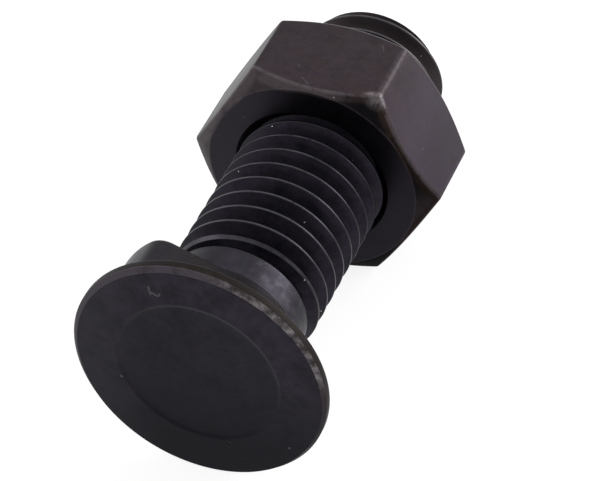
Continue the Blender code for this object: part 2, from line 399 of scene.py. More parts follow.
nut = {
    "sides": 192,
    "acrossFlats": 23.8125 * mm,
    "height": 11.2 * mm,
    "place": 30.68 * mm,
    "faceStep": 0.45 * mm,         # from a flat in to the round edge of a face
    "chamferAngle": 35,
    "edgeRound": 0.11 * mm,
    "edgeAngle": 24,               # sharper edges than this are rounded, in degrees
    "edgeSteps": 3,
    "flatRound": 0.28 * mm,        # the rolled-over edges of the flats
    "flatSteps": 4,
    "flatNear": 0.002 * mm,        # what lies closer than this to a flat is on it
    "cornerRoom": 1.1,             # the turned shape's reach, in corner radii
    "spare": 2 * mm,               # how much longer the bar is than the nut, at each end
    "mouthRadius": 8.4875 * mm,
    "boreRadius": 6.9 * mm,
    "threadRoom": 0.1 * mm,
    "spareTurns": (2, 5),          # the tap's turns below the nut, and more than the nut needs in all
}


def flatReach(place):    # how far a point lies from the axis, measured towards the flat it is nearest to
    turns = [math.radians(90 + 60 * side) for side in range(6)]
    return max(place.x * math.cos(turn) + place.y * math.sin(turn) for turn in turns)


def makeNut():
    bottom, top = nut["place"], nut["place"] + nut["height"]
    apothem = nut["acrossFlats"] / 2
    corner = apothem / math.cos(math.radians(30))
    face = apothem - nut["faceStep"]
    reach = corner * nut["cornerRoom"]
    rise = (reach - face) * math.tan(math.radians(nut["chamferAngle"]))
    spare = nut["spare"]
    piece = startCylinder("hexNut", corner, bottom - spare, top + spare, 6, math.radians(30))
    turning = startCylinder("turning", reach, bottom + rise, top - rise, nut["sides"])
    turnOn(turning, True, [(face, top)])
    turnOn(turning, False, [(face, bottom)])
    combine(piece, turning, "INTERSECT")
    outwards(piece, nearPlace)
    openMesh(piece, "EDGE")
    pickEdges(piece, lambda edge: all(abs(flatReach(v.co) - apothem) < nut["flatNear"] for v in edge.verts))
    bpy.ops.mesh.bevel(offset=nut["flatRound"], segments=nut["flatSteps"], affect="EDGES")
    closeMesh()
    makeActive(piece)
    bevel = piece.modifiers.new("wornEdges", "BEVEL")
    bevel.width = nut["edgeRound"]
    bevel.segments = nut["edgeSteps"]
    bevel.limit_method = "ANGLE"
    bevel.angle_limit = math.radians(nut["edgeAngle"])
    bpy.ops.object.modifier_apply(modifier=bevel.name)
    mouth, bore = nut["mouthRadius"], nut["boreRadius"]
    drill = startCylinder("drill", bore, bottom + mouth - bore, top - mouth + bore, nut["sides"])
    turnOn(drill, True, [(mouth + mm, top + mm)])
    turnOn(drill, False, [(mouth + mm, bottom - mm)])
    combine(piece, drill, "DIFFERENCE")
    below, extra = nut["spareTurns"]
    turns = math.ceil(nut["height"] / thread["pitch"]) + extra
    first = math.floor((bottom - thread["firstCrest"]) / thread["pitch"]) - below
    combine(piece, makeThreadRod("tap", nut["threadRoom"], first, turns), "DIFFERENCE")
    outwards(piece)
    layDown(piece)
    return piece


plowBolt = makeBolt()
print("bolt made:", len(plowBolt.data.polygons), "faces")
hexNut = makeNut()
print("nut made:", len(hexNut.data.polygons), "faces")

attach(plowBolt, "bolt")
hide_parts("bolt")
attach(hexNut, "nut")
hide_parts("nut")


# node helpers: a value may be a plain one or another node's output
def feed(tree, socket, value):
    if isinstance(value, bpy.types.NodeSocket):
        tree.links.new(value, socket)
    else:
        socket.default_value = value


def addNode(tree, kind, inputs=None, **settings):
    node = tree.nodes.new("ShaderNode" + kind)
    for name, value in settings.items():
        setattr(node, name, value)
    for name, value in (inputs or {}).items():
        feed(tree, node.inputs[name], value)
    return node


def number(tree, operation, first, second=0.0, third=0.0):
    return addNode(tree, "Math", {0: first, 1: second, 2: third}, operation=operation).outputs[0]


def vector(tree, operation, first, second=(0, 0, 0)):
    return addNode(tree, "VectorMath", {0: first, 1: second}, operation=operation)


def times(tree, *values):
    product = values[0]
    for value in values[1:]:
        product = number(tree, "MULTIPLY", product, value)
    return product


def largest(tree, *values):
    found = values[0]
    for value in values[1:]:
        found = number(tree, "MAXIMUM", found, value)
    return found


def ramp(tree, value, low, high):    # 0 at low, 1 at high; low may be the larger
    inputs = {"Value": value, "From Min": low, "From Max": high}
    return addNode(tree, "MapRange", inputs, interpolation_type="SMOOTHSTEP").outputs["Result"]


def between(tree, value, low, high, soft):    # 1 between low and high
    return times(tree, ramp(tree, value, low - soft, low + soft), ramp(tree, value, high + soft, high - soft))


def blend(tree, share, under, over):
    return addNode(tree, "Mix", {0: share, 6: under, 7: over}, data_type="RGBA").outputs[2]


def noise(tree, place, scale, detail=3.0, roughness=0.55):
    inputs = {"Vector": place, "Scale": scale, "Detail": detail, "Roughness": roughness}
    return addNode(tree, "TexNoise", inputs).outputs["Fac"]


def newGroup(name, inputs, outputs):
    group = bpy.data.node_groups.new(name, "ShaderNodeTree")
    for label, value in inputs.items():
        kind = {3: "Vector", 4: "Color"}[len(value)] if isinstance(value, tuple) else "Float"
        socket = group.interface.new_socket(name=label, in_out="INPUT", socket_type="NodeSocket" + kind)
        socket.default_value = value
    for label, kind in outputs.items():
        group.interface.new_socket(name=label, in_out="OUTPUT", socket_type="NodeSocket" + kind)
    return group, group.nodes.new("NodeGroupInput").outputs, group.nodes.new("NodeGroupOutput").inputs


def useGroup(tree, group, inputs):
    node = tree.nodes.new("ShaderNodeGroup")
    node.node_tree = group
    for name, value in inputs.items():
        feed(tree, node.inputs[name], value)
    return node.outputs


oxide = {    # how the skin's patterns are made up; the materials give its colours
    "grainScale": 3.4,
    "blotchScale": 1.15,
    "cloudNoise": (5.0, 0.6),          # detail and roughness of each noise
    "grainNoise": (3.0, 0.65),
    "bandNoise": (3.0, 0.6),
    "blotchNoise": (4.0, 0.7),
    "bandStretch": (0.3, 0.3, 3.6),    # bands run across the piece's length
    "cloud": (0.32, 0.68, 0.44),       # each pattern's low and high, and its share
    "blotch": (0.35, 0.65, 0.24),
    "band": (0.30, 0.70, 0.32),
    "roughnessSwing": 0.22,
    "bandHeight": 0.010,
    "cloudHeight": 0.006,
}


# black oxide: cloudy colour, a fine grain, and bands from the turning or the rolling
def makeOxideSkin():
    inputs = {"Place": (0, 0, 0), "Dark": (0.01, 0.01, 0.01, 1), "Light": (0.02, 0.02, 0.02, 1),
              "Cloud Size": 4.0, "Band Share": 0.3, "Roughness": 0.4}
    outputs = {"Colour": "Color", "Roughness": "Float", "Height": "Float"}
    tree, given, result = newGroup("oxideSkin", inputs, outputs)
    place = given["Place"]
    cloud = noise(tree, place, number(tree, "DIVIDE", 1.0, given["Cloud Size"]), *oxide["cloudNoise"])
    grain = noise(tree, place, oxide["grainScale"], *oxide["grainNoise"])
    stretched = vector(tree, "MULTIPLY", place, oxide["bandStretch"]).outputs[0]
    band = noise(tree, stretched, 1.0, *oxide["bandNoise"])
    banded = number(tree, "MULTIPLY_ADD", number(tree, "SUBTRACT", band, grain), given["Band Share"], grain)
    blotch = noise(tree, place, oxide["blotchScale"], *oxide["blotchNoise"])
    mixed = 0.0
    for name, pattern in (("cloud", cloud), ("blotch", blotch), ("band", banded)):
        low, high, share = oxide[name]
        mixed = number(tree, "MULTIPLY_ADD", ramp(tree, pattern, low, high), share, mixed)
    feed(tree, result["Colour"], blend(tree, mixed, given["Dark"], given["Light"]))
    swing = times(tree, number(tree, "SUBTRACT", cloud, 0.5), oxide["roughnessSwing"])
    feed(tree, result["Roughness"], number(tree, "ADD", given["Roughness"], swing))
    cloudHeight = times(tree, cloud, oxide["cloudHeight"])
    feed(tree, result["Height"], number(tree, "MULTIPLY_ADD", banded, oxide["bandHeight"], cloudHeight))
    return tree


raggedPatch = {
    "noise": (5.0, 0.65),     # detail and roughness
    "contrast": 0.9,
    "lift": 0.05,
    "edge": (-0.12, 0.16),    # from none to all of the patch
}


# wear, tint or rust inside a mask, broken up so that its edge is ragged
def makeRaggedPatch():
    inputs = {"Place": (0, 0, 0), "Mask": 0.0, "Grain Size": 0.6, "Amount": 0.7}
    tree, given, result = newGroup("raggedPatch", inputs, {"Patch": "Float"})
    scale = number(tree, "DIVIDE", 1.0, given["Grain Size"])
    grain = noise(tree, given["Place"], scale, *raggedPatch["noise"])
    raw = number(tree, "MULTIPLY_ADD", grain, raggedPatch["contrast"], raggedPatch["lift"])
    gaps = number(tree, "SUBTRACT", 1.0, given["Amount"])
    kept = ramp(tree, number(tree, "SUBTRACT", raw, gaps), *raggedPatch["edge"])
    feed(tree, result["Patch"], times(tree, kept, given["Mask"]))
    return tree


# bits of pale dust
def makeDustSpecks():
    inputs = {"Place": (0, 0, 0), "Spacing": 1.0, "Size": 0.07, "Share": 0.05}
    tree, given, result = newGroup("dustSpecks", inputs, {"Specks": "Float"})
    scale = number(tree, "DIVIDE", 1.0, given["Spacing"])
    cells = addNode(tree, "TexVoronoi", {"Vector": given["Place"], "Scale": scale})
    distance = times(tree, cells.outputs["Distance"], given["Spacing"])
    chance, change = addNode(tree, "SeparateColor", {0: cells.outputs["Color"]}).outputs[:2]
    chosen = number(tree, "LESS_THAN", chance, given["Share"])
    size = times(tree, given["Size"], number(tree, "ADD", change, 0.5))
    feed(tree, result["Specks"], times(tree, chosen, number(tree, "LESS_THAN", distance, size)))
    return tree


scratch = {
    "noiseScale": 5.0,
    "noiseDetail": 2.0,
    "widthSwing": 1.6,        # its width varies by this times the noise, from the narrowest
    "narrowest": 0.2,
    "edge": (1.0, 0.4),       # from its side to where it is deepest, in widths
}


# a scratch, nick or pit from one place to another, in millimetres
def makeScratch():
    inputs = {"Place": (0, 0, 0), "Start": (0, 0, 0), "End": (1, 0, 0), "Width": 0.1}
    tree, given, result = newGroup("scratch", inputs, {"Scratch": "Float"})
    along = vector(tree, "SUBTRACT", given["End"], given["Start"]).outputs[0]
    away = vector(tree, "SUBTRACT", given["Place"], given["Start"]).outputs[0]
    length = vector(tree, "DOT_PRODUCT", along, along).outputs["Value"]
    share = number(tree, "DIVIDE", vector(tree, "DOT_PRODUCT", away, along).outputs["Value"], length)
    held = addNode(tree, "Clamp", {0: share}).outputs[0]
    nearest = addNode(tree, "VectorMath", {0: along, "Scale": held}, operation="SCALE").outputs[0]
    distance = vector(tree, "LENGTH", vector(tree, "SUBTRACT", away, nearest).outputs[0]).outputs["Value"]
    rough = noise(tree, given["Place"], scratch["noiseScale"], scratch["noiseDetail"])
    ragged = number(tree, "MULTIPLY_ADD", rough, scratch["widthSwing"], scratch["narrowest"])
    width = times(tree, given["Width"], ragged)
    feed(tree, result["Scratch"], ramp(tree, number(tree, "DIVIDE", distance, width), *scratch["edge"]))
    return tree


effects = {
    "skin": makeOxideSkin(),
    "patch": makeRaggedPatch(),
    "dust": makeDustSpecks(),
    "scratch": makeScratch(),
}


# a material, its places in millimetres as the piece stands (along is from the head's face), and its skin
def startMaterial(name, looks):
    material = bpy.data.materials.new(name)
    material.use_nodes = True
    tree = material.node_tree
    standing = addNode(tree, "Mapping", {
        "Vector": addNode(tree, "TexCoord").outputs["Object"],
        "Location": (0, lying["headFaceY"], lying["axisHeight"]),
        "Rotation": (math.radians(-90 - lying["fall"]), 0, 0)}, vector_type="TEXTURE").outputs[0]
    place = addNode(tree, "VectorMath", {0: standing, "Scale": 1 / mm}, operation="SCALE").outputs[0]
    across, down, along = addNode(tree, "SeparateXYZ", {0: place}).outputs
    squares = number(tree, "ADD", times(tree, across, across), times(tree, down, down))
    radius = number(tree, "SQRT", squares)
    at = {"place": place, "across": across, "down": down, "along": along, "radius": radius}
    skin = useGroup(tree, effects["skin"], {
        "Place": place, "Dark": looks["dark"], "Light": looks["light"], "Cloud Size": looks["cloudSize"],
        "Band Share": looks["bandShare"], "Roughness": looks["roughness"]})
    return material, (tree, at, looks), skin


def zone(surface, name):    # where a feature lies: two values are a fade, three a band and its softness
    tree, at, looks = surface
    masks = []
    for direction, span in looks["features"][name]["zone"].items():
        fade = ramp if len(span) == 2 else between
        masks.append(fade(tree, at[direction], *span))
    return times(tree, *masks)


def breakUp(surface, name, mask):    # in patches of the feature's grain size and amount
    tree, at, looks = surface
    size, amount = looks["features"][name]["patches"]
    inputs = {"Place": at["place"], "Mask": mask, "Grain Size": size, "Amount": amount}
    return useGroup(tree, effects["patch"], inputs)["Patch"]


def scratches(surface, name):
    tree, at, looks = surface
    found = []
    for start, end, width in looks["features"][name]["lines"]:
        inputs = {"Place": at["place"], "Start": start, "End": end, "Width": width}
        found.append(useGroup(tree, effects["scratch"], inputs)["Scratch"])
    return largest(tree, *found)


def featureMask(surface, name, *within):    # all that limits a feature: its zone, patches and share
    tree, _, looks = surface
    feature = looks["features"][name]
    masks = list(within)
    if "zone" in feature:
        masks.append(zone(surface, name))
    mask = times(tree, *masks)
    if "patches" in feature:
        mask = breakUp(surface, name, mask)
    return times(tree, mask, feature["share"]) if "share" in feature else mask


def fadeAcross(surface, name):    # from the feature's value at the left to the one at the right
    tree, _, looks = surface
    left, right = looks["features"][name]["left"], looks["features"][name]["right"]
    return number(tree, "MULTIPLY_ADD", zone(surface, name), right - left, left)


def coat(surface, colour, name, *within, tone=None):    # a feature over the colour
    tree, _, looks = surface
    if tone is None:
        tone = looks["tones"][looks["features"][name]["tone"]]
    return blend(tree, featureMask(surface, name, *within), colour, tone)


def addDust(surface, colour, *within):
    tree, at, looks = surface
    specks = useGroup(tree, effects["dust"], {"Place": at["place"], **looks["dust"]})["Specks"]
    return blend(tree, times(tree, specks, *within), colour, looks["tones"]["dust"])


def finishMaterial(surface, colour, roughness, height):
    tree, _, looks = surface
    shader = tree.nodes["Principled BSDF"]
    shader.inputs["Metallic"].default_value = looks["metal"]
    shader.inputs["Specular Tint"].default_value = looks["grazing"]
    feed(tree, shader.inputs["Base Color"], colour)
    feed(tree, shader.inputs["Roughness"], roughness)
    bump = addNode(tree, "Bump", {"Height": height, "Distance": mm})
    feed(tree, shader.inputs["Normal"], bump.outputs[0])


# a feature's zone is in millimetres across, down, along, and out from the axis (radius); its patches are
# their grain size and amount; its share is its strength; its lines are start, end and width
boltLooks = {
    "dark": (0.0080, 0.0068, 0.0108, 1),
    "light": (0.0255, 0.0226, 0.0315, 1),
    "cloudSize": 3.4,
    "bandShare": 0.55,
    "roughness": 0.40,
    "metal": 0.92,
    "grazing": (0.86, 0.86, 0.87, 1),    # duller than a mirror at grazing angles
    "wallDulling": 0.15,                 # added to the roughness on the rim's wall
    "edgePolish": 0.08,                  # taken from the roughness on edges
    "dentDepth": 0.10,
    "wearDepth": 0.012,
    "dust": {"Spacing": 0.8, "Size": 0.05, "Share": 0.24},
    "tones": {
        # painted shade for the lower part of the head's face
        "paintedShadeLowFace": (0.0060, 0.0056, 0.0080, 1),
        # painted shade for the neck and shank under the head
        "paintedShadeUnderHead": (0.0080, 0.0070, 0.0088, 1),
        "disc": (0.0085, 0.0086, 0.0118, 1),
        "olive": (0.0074, 0.0056, 0.0047, 1),
        "rust": (0.0280, 0.0180, 0.0140, 1),
        # the bevel's light tone, a painted highlight on the bevel; also used on the rim's back edge
        "bevel": (0.0570, 0.0500, 0.0610, 1),
        "brownBevel": (0.0330, 0.0265, 0.0275, 1),
        "worn": (0.1750, 0.1600, 0.1680, 1),
        # a lighter tone: painted light at the left of the face and thread, and on edges partly wear and
        # partly painted highlight
        "edge": (0.0330, 0.0315, 0.0365, 1),
        # painted sheen for the shank
        "paintedSheenStreak": (0.0420, 0.0390, 0.0470, 1),
        "tip": (0.0510, 0.0430, 0.0450, 1),
        "scuff": (0.0820, 0.0740, 0.0830, 1),
        "dust": (0.60, 0.58, 0.56, 1),
    },
    "features": {
        # painted shade: the head's face darker towards the bottom, less so at the left
        "paintedShadeLowFace": {"tone": "paintedShadeLowFace", "zone": {"down": (-6.0, 11.0), "along": (0.6, 0.3)}},
        "paintedShadeFade": {"zone": {"across": (-13.0, -3.0)}, "left": 0.4, "right": 0.9},
        # painted light: the head's face and the thread lighter towards the left
        "paintedLightLeftFace": {"tone": "edge", "zone": {"across": (-4.0, -12.0), "along": (0.6, 0.3)}, "share": 0.30},
        "paintedLightLeftThread": {"tone": "edge", "share": 0.30,
                       "zone": {"across": (-3.0, -7.0), "along": (11.0, 12.5)}},
        # painted shade on the neck and shank under the head
        "paintedShadeUnderHead": {"tone": "paintedShadeUnderHead", "share": 0.42,
                      "zone": {"radius": (7.30, 7.36), "along": (1.3, 10.4, 0.05)}},
        "disc": {"tone": "disc", "zone": {"radius": (8.7, 7.8), "along": (0.6, 0.3)}, "share": 0.40},
        "rimWall": {"tone": "olive", "zone": {"radius": (12.95, 13.2), "along": (0.22, 1.4, 0.04)},
                    "patches": (2.2, 0.84)},
        "nibSide": {"tone": "olive", "patches": (2.2, 0.84), "share": 0.6,
                    "zone": {"across": (-8.0, -3.0), "radius": (7.42, 7.6), "along": (1.4, 8.0, 0.2)}},
        "tip": {"tone": "tip", "zone": {"along": (42.0, 46.0)}, "patches": (1.6, 0.74)},
        "rust": {"tone": "rust", "zone": {"radius": (12.2, 12.9), "along": (0.9, 0.3), "down": (3.0, -5.0)},
                 "patches": (1.3, 0.40)},
        # painted highlight: the bevel light towards the top
        "bevel": {"zone": {"radius": (12.3, 12.5), "along": (0.028, 0.34, 0.012), "down": (9.5, -2.0)},
                  "share": 0.9},
        "brownRight": {"zone": {"across": (-1.0, 5.0)}},
        "brownLeft": {"zone": {"across": (-9.0, -4.0)}, "patches": (1.5, 0.44)},
        "backEdge": {"tone": "bevel", "zone": {"radius": (13.0, 13.2), "along": (1.10, 1.24, 0.03)},
                     "patches": (1.5, 0.60), "share": 0.45},
        # painted sheen: lighter streaks on the shank, towards its right side
        "paintedSheenStreak": {"tone": "paintedSheenStreak", "patches": (1.1, 0.44), "share": 0.6,
                   "zone": {"radius": (7.33, 7.45, 0.02), "along": (7.7, 10.4, 0.1), "across": (0.5, 3.5)}},
        # bright spots at the bevel's upper right: partly wear, partly painted highlight
        "wearAndHighlight": {"zone": {"across": (-3.0, 6.0), "down": (0.0, -4.5)}, "patches": (1.3, 0.50)},
        "wearGrain": {"patches": (0.25, 0.72)},
        # light edges, partly wear and partly painted highlight; the crests lighter at the left
        "shankEnd": {"zone": {"radius": (7.30, 7.42, 0.02), "along": (10.36, 10.52, 0.03)}, "share": 0.8},
        "nibEdge": {"zone": {"radius": (7.5, 7.7), "along": (7.12, 7.56, 0.08)}, "share": 0.35},
        "crest": {"zone": {"radius": (7.865, 7.925), "along": (10.6, 10.9)}},
        "crestSheenFade": {"zone": {"across": (1.0, 5.0)}, "left": 1.0, "right": 0.6},
        "runOut": {"zone": {"fromSlope": (0.045, 0.02), "along": (10.56, 12.4, 0.04)}, "share": 0.7},
        "edges": {"tone": "edge", "patches": (0.7, 0.62)},
        "nick": {"tone": "scuff", "share": 0.7,
                 "lines": [((-4.79, -9.95, 0), (-4.61, -9.05, 0), 0.17),
                           ((-4.50, -9.30, 0), (-3.85, -9.05, 0), 0.18),
                           ((-3.70, -9.12, 0), (-3.62, -9.42, 0), 0.14)]},
        "pit": {"tone": "olive", "share": 0.8, "lines": [((2.93, 8.75, 0), (3.05, 8.80, 0), 0.20)]},
        "flecks": {"tone": "worn", "share": 0.4,
                   "lines": [((-8.34, 3.35, 0), (-8.20, 3.35, 0), 0.13),
                             ((9.44, 7.05, 0), (9.50, 7.10, 0), 0.12),
                             ((-0.50, -7.88, 24.5), (-0.40, -7.88, 24.5), 0.16)]},
        "dusty": {"zone": {"along": (9.0, 12.0)}},
    },
}


def makeBoltMaterial():
    material, surface, skin = startMaterial("oxideBolt", boltLooks)
    tree, at, looks = surface
    # painted shade over the lower part of the head's face
    colour = coat(surface, skin["Colour"], "paintedShadeLowFace", fadeAcross(surface, "paintedShadeFade"))
    # painted light at the left, painted shade under the head, then the disc's and rim's tints, the tip and
    # rust
    for name in ("paintedLightLeftFace", "paintedLightLeftThread", "paintedShadeUnderHead", "disc", "rimWall", "nibSide", "tip", "rust"):
        colour = coat(surface, colour, name)
    # the bevel round the face, light towards the top as a painted highlight, brown at the right and in
    # patches, with spots at its upper right that are partly wear and partly painted highlight
    brown = largest(tree, featureMask(surface, "brownRight"), featureMask(surface, "brownLeft"))
    bevelHighlightTone = blend(tree, brown, looks["tones"]["bevel"], looks["tones"]["brownBevel"])
    colour = coat(surface, colour, "bevel", tone=bevelHighlightTone)
    # the rim's back edge, and painted sheen in streaks on the shank
    for name in ("backEdge", "paintedSheenStreak"):
        colour = coat(surface, colour, name)
    wearAndHighlight = times(tree, zone(surface, "bevel"), zone(surface, "wearAndHighlight"))
    worn = times(tree, breakUp(surface, "wearAndHighlight", wearAndHighlight), breakUp(surface, "wearGrain", wearAndHighlight))
    colour = blend(tree, worn, colour, looks["tones"]["worn"])
    # light edges, partly wear and partly painted highlight: the shank's end, the nib, the crests, and the
    # band where the thread rises out of the shank; the crests' painted highlight fades towards the right
    fromStart = number(tree, "SUBTRACT", at["along"], bolt["threadStart"] / mm)
    slope = math.tan(math.radians(bolt["runOutAngle"]))
    foot = (bolt["shankRadius"] - bolt["runOutDrop"]) / mm
    rise = number(tree, "MULTIPLY_ADD", fromStart, slope, foot)
    at["fromSlope"] = number(tree, "ABSOLUTE", number(tree, "SUBTRACT", at["radius"], rise))
    crest = featureMask(surface, "crest", fadeAcross(surface, "crestSheenFade"))
    light = [featureMask(surface, name) for name in ("shankEnd", "nibEdge", "runOut")]
    edges = largest(tree, crest, *light)
    colour = coat(surface, colour, "edges", edges)
    nick, pit = scratches(surface, "nick"), scratches(surface, "pit")
    colour = coat(surface, colour, "nick", nick)
    colour = coat(surface, colour, "pit", pit)
    colour = coat(surface, colour, "flecks", scratches(surface, "flecks"))
    colour = addDust(surface, colour, zone(surface, "dusty"))
    dents = largest(tree, nick, pit)
    relief = number(tree, "SUBTRACT", skin["Height"], times(tree, dents, looks["dentDepth"]))
    relief = number(tree, "SUBTRACT", relief, times(tree, worn, looks["wearDepth"]))
    roughness = number(tree, "SUBTRACT", skin["Roughness"], times(tree, edges, looks["edgePolish"]))
    roughness = number(tree, "MULTIPLY_ADD", zone(surface, "rimWall"), looks["wallDulling"], roughness)
    finishMaterial(surface, colour, roughness, relief)
    return material


nutLooks = {
    "dark": (0.0088, 0.0056, 0.0070, 1),
    "light": (0.0215, 0.0148, 0.0192, 1),
    "cloudSize": 2.4,
    "bandShare": 0.15,
    "roughness": 0.39,
    "metal": 0.92,
    "grazing": (0.86, 0.86, 0.87, 1),    # duller than a mirror at grazing angles
    "chamferDulling": 0.08,              # added to the roughness on the chamfers
    "shadeDulling": 0.42,                # and on their dark part
    "dentDepth": 0.03,
    "bruisedCorner": (6.75, -11.80, 32.6),
    "borderWidths": (1.30, 0.90),        # the tinted border beside a flat, at the left and at the right
    "slantShare": 0.5,                   # how much down counts beside across, in slant
    "dust": {"Spacing": 1.2, "Size": 0.045, "Share": 0.08},
    "tones": {
        "face": (0.0100, 0.0090, 0.0135, 1),
        # painted light for the end faces' left side
        "paintedLitFace": (0.0230, 0.0210, 0.0275, 1),
        "violet": (0.0310, 0.0228, 0.0345, 1),
        # nearly black: painted shade on the chamfers, and the dark marks
        "shadeAndMarkBlack": (0.0030, 0.0027, 0.0033, 1),
        # painted light on the chamfers
        "paintedLitChamfer": (0.0360, 0.0290, 0.0320, 1),
        "tan": (0.0620, 0.0510, 0.0560, 1),
        "brown": (0.0230, 0.0140, 0.0110, 1),
        "mottle": (0.0200, 0.0125, 0.0105, 1),
        "worn": (0.1200, 0.1050, 0.1100, 1),
        "dust": (0.60, 0.58, 0.56, 1),
    },
    "features": {
        # painted light: the flats at the right lighter and violet
        "paintedLightVioletSide": {"tone": "violet", "zone": {"across": (6.5, 10.5)}, "share": 0.6},
        # painted light: the end faces paler towards the left
        "paintedLightLeftEnds": {"zone": {"across": (1.0, -8.0)}},
        "ends": {"zone": {"fromEnd": (0.06, 0.02)}, "share": 0.75},    # bluer than the flats
        "chamfer": {"zone": {"aboveChamfer": (0.10, 0.04), "pastFace": (-0.05, 0.1)}, "share": 0.92},
        # painted light on the chamfers at the left and the lower right
        "paintedLitChamferLeft": {"zone": {"slant": (0.0, -7.0)}},
        "paintedLitChamferRight": {"zone": {"across": (8.0, 11.0), "down": (-1.0, 7.0, 2.0)}},
        "shade": {"zone": {"slant": (3.0, 8.0)}},
        "chamferMottle": {"tone": "mottle", "patches": (1.2, 0.42), "share": 0.7},
        "narrower": {"zone": {"across": (-1.0, 4.0)}},
        "border": {"zone": {"pastBorder": (0.0, 0.45), "aboveChamfer": (0.30, 0.10)},
                   "patches": (1.0, 0.62), "share": 0.8},
        "upperBorder": {"zone": {"down": (4.0, 0.0)}},
        "rightBorder": {"zone": {"across": (9.0, 11.0)}},
        "brownBorder": {"zone": {"across": (1.0, 6.0)}},
        "flats": {"zone": {"pastFlat": (-0.30, -0.12)}},
        "flatMottle": {"tone": "mottle", "patches": (1.4, 0.42), "share": 0.6},
        "flatEnds": {"zone": {"aboveChamfer": (0.22, 0.06)}, "share": 0.45},
        "corners": {"zone": {"radius": (13.48, 13.60), "across": (2.0, 6.0)}, "share": 0.17},
        "faceEdge": {"zone": {"pastFace": (-0.02, 0.12, 0.05), "fromEnd": (0.16, 0.08)}, "share": 0.2},
        "edges": {"tone": "worn", "patches": (0.8, 0.60), "share": 0.75},
        "bruise": {"zone": {"fromCorner": (2.0, 0.5), "aboveChamfer": (0.8, 0.1)},
                   "patches": (0.45, 0.60)},
        "scratches": {"tone": "worn", "share": 0.18,
                      "lines": [((4.43, -11.91, 40.03), (4.92, -11.91, 38.99), 0.07),
                                ((-1.52, -11.91, 32.28), (-0.55, -11.91, 31.5), 0.10),
                                ((-2.51, -11.91, 33.97), (-2.45, -11.91, 33.97), 0.12),
                                ((11.05, -4.67, 33.77), (11.04, -4.69, 34.41), 0.07),
                                ((-7.55, -6.05, 30.68), (-7.45, -6.05, 30.68), 0.13)]},
        "brightMarks": {"tone": "worn", "share": 0.7,
                        "lines": [((5.0, -11.62, 31.25), (6.3, -11.35, 31.55), 0.15),
                                  ((3.2, -11.75, 30.80), (4.6, -11.68, 31.05), 0.10),
                                  ((7.03, -11.85, 34.10), (7.05, -11.85, 34.15), 0.10)]},
        "darkMarks": {"tone": "shadeAndMarkBlack", "share": 0.6,
                      "lines": [((-1.50, -11.91, 39.55), (0.20, -11.91, 39.45), 0.10),
                                ((-3.90, -11.91, 38.6), (-3.85, -11.91, 38.6), 0.12)]},
    },
}


# more places on the nut: how far from an end, above the chamfer, and past a face's round edge and a flat
def measureNut(surface):
    tree, at, looks = surface
    reach = number(tree, "ABSOLUTE", at["down"])    # from the axis towards the nearest flat
    for turn in (math.radians(-30), math.radians(30)):
        part = times(tree, at["down"], math.sin(turn))
        turned = number(tree, "MULTIPLY_ADD", at["across"], math.cos(turn), part)
        reach = largest(tree, reach, number(tree, "ABSOLUTE", turned))
    apothem = nut["acrossFlats"] / 2 / mm
    bottom, top = nut["place"] / mm, (nut["place"] + nut["height"]) / mm
    fromBottom = number(tree, "SUBTRACT", at["along"], bottom)
    fromTop = number(tree, "SUBTRACT", top, at["along"])
    at["fromEnd"] = number(tree, "MINIMUM", fromBottom, fromTop)
    at["pastFace"] = number(tree, "SUBTRACT", at["radius"], apothem - nut["faceStep"] / mm)
    chamfer = times(tree, at["pastFace"], math.tan(math.radians(nut["chamferAngle"])))
    at["aboveChamfer"] = number(tree, "SUBTRACT", at["fromEnd"], chamfer)
    at["pastFlat"] = number(tree, "SUBTRACT", reach, apothem)
    leftWidth, rightWidth = looks["borderWidths"]
    width = number(tree, "MULTIPLY_ADD", zone(surface, "narrower"), rightWidth - leftWidth, leftWidth)
    at["pastBorder"] = number(tree, "ADD", at["pastFlat"], width)
    at["slant"] = number(tree, "MULTIPLY_ADD", at["down"], looks["slantShare"], at["across"])
    at["fromCorner"] = vector(tree, "DISTANCE", at["place"], looks["bruisedCorner"]).outputs["Value"]


